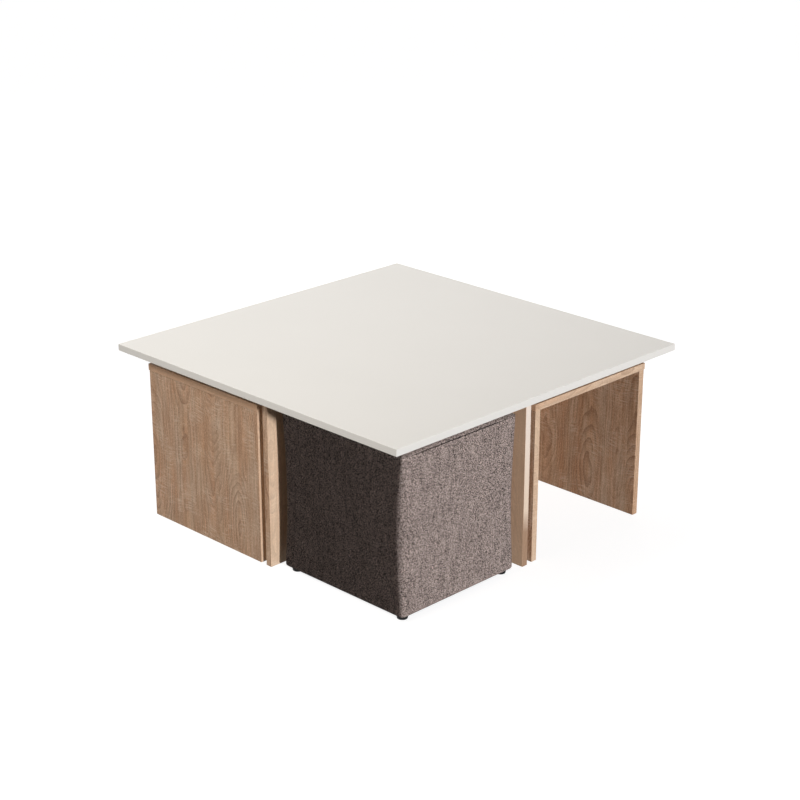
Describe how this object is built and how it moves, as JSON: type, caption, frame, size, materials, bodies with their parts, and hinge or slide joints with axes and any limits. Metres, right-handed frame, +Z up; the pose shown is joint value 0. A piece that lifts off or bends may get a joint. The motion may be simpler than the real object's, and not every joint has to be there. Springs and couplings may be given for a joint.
{
  "type": "coffee table set",
  "caption": "Square coffee table on a cross base with side tables and upholstered ottomans that store in the bays under its top.",
  "frame": {"origin": "on the floor under the middle of the coffee table", "axes": "Z up; X and Y along the edges of the top; the pictured corner is the one at -X, -Y"},
  "size_m": [0.9, 0.9, 0.425],
  "materials": {
    "white_melamine": "smooth white melamine board with a slight sheen",
    "oak_upright": "light sonoma oak decor, grain upright",
    "oak_flat": "light sonoma oak decor, grain along the open ends",
    "raw_board": "raw chipboard inside the ottomans",
    "zinc": "zinc plated fittings",
    "cap_plastic": "oak-coloured cover caps",
    "woven_fabric": "grey-brown melange weave",
    "seat_foam": "upholstery foam",
    "black_plastic": "black plastic glides"
  },
  "bodies": {
    "table": {"table_top": "white_melamine", "cross_panel_x": "oak_upright", "cross_panel_y": "oak_upright", "table_bolt_east": "zinc", "table_cam_east": "zinc", "table_bolt_north": "zinc", "table_cam_north": "zinc", "table_bolt_west": "zinc", "table_cam_west": "zinc", "table_bolt_south": "zinc", "table_cam_south": "zinc"},
    "side_table_right": {"side_table_right_top": "oak_flat", "side_table_right_leg_outer": "oak_upright", "side_table_right_leg_inner": "oak_upright", "side_table_right_screw_outer_a": "zinc", "side_table_right_cap_outer_a": "cap_plastic", "side_table_right_screw_outer_b": "zinc", "side_table_right_cap_outer_b": "cap_plastic", "side_table_right_screw_inner_a": "zinc", "side_table_right_cap_inner_a": "cap_plastic", "side_table_right_screw_inner_b": "zinc", "side_table_right_cap_inner_b": "cap_plastic"},
    "side_table_left": {"side_table_left_top": "oak_flat", "side_table_left_leg_outer": "oak_upright", "side_table_left_leg_inner": "oak_upright", "side_table_left_screw_outer_a": "zinc", "side_table_left_cap_outer_a": "cap_plastic", "side_table_left_screw_outer_b": "zinc", "side_table_left_cap_outer_b": "cap_plastic", "side_table_left_screw_inner_a": "zinc", "side_table_left_cap_inner_a": "cap_plastic", "side_table_left_screw_inner_b": "zinc", "side_table_left_cap_inner_b": "cap_plastic"},
    "ottoman_front": {"ottoman_front_side_cover": "woven_fabric", "ottoman_front_seat_cover": "woven_fabric", "ottoman_front_seat_foam": "seat_foam", "ottoman_front_front_board": "raw_board", "ottoman_front_back_board": "raw_board", "ottoman_front_left_board": "raw_board", "ottoman_front_right_board": "raw_board", "ottoman_front_base_board": "raw_board", "ottoman_front_seat_board": "raw_board", "ottoman_front_foot_a": "black_plastic", "ottoman_front_foot_b": "black_plastic", "ottoman_front_foot_c": "black_plastic", "ottoman_front_foot_d": "black_plastic"},
    "ottoman_back": {"ottoman_back_side_cover": "woven_fabric", "ottoman_back_seat_cover": "woven_fabric", "ottoman_back_seat_foam": "seat_foam", "ottoman_back_front_board": "raw_board", "ottoman_back_back_board": "raw_board", "ottoman_back_left_board": "raw_board", "ottoman_back_right_board": "raw_board", "ottoman_back_base_board": "raw_board", "ottoman_back_seat_board": "raw_board", "ottoman_back_foot_a": "black_plastic", "ottoman_back_foot_b": "black_plastic", "ottoman_back_foot_c": "black_plastic", "ottoman_back_foot_d": "black_plastic"}
  },
  "joints": [
    {"name": "ottoman_front_pull", "type": "slide", "parent": "table", "child": "ottoman_front", "axis": [0, -1, 0], "range_m": [0, 0.45]},
    {"name": "ottoman_back_pull", "type": "slide", "parent": "table", "child": "ottoman_back", "axis": [0, 1, 0], "range_m": [0, 0.45]},
    {"name": "side_table_right_pull", "type": "slide", "parent": "table", "child": "side_table_right", "axis": [1, 0, 0], "range_m": [0, 0.45]},
    {"name": "side_table_left_pull", "type": "slide", "parent": "table", "child": "side_table_left", "axis": [-1, 0, 0], "range_m": [0, 0.45]}
  ]
}
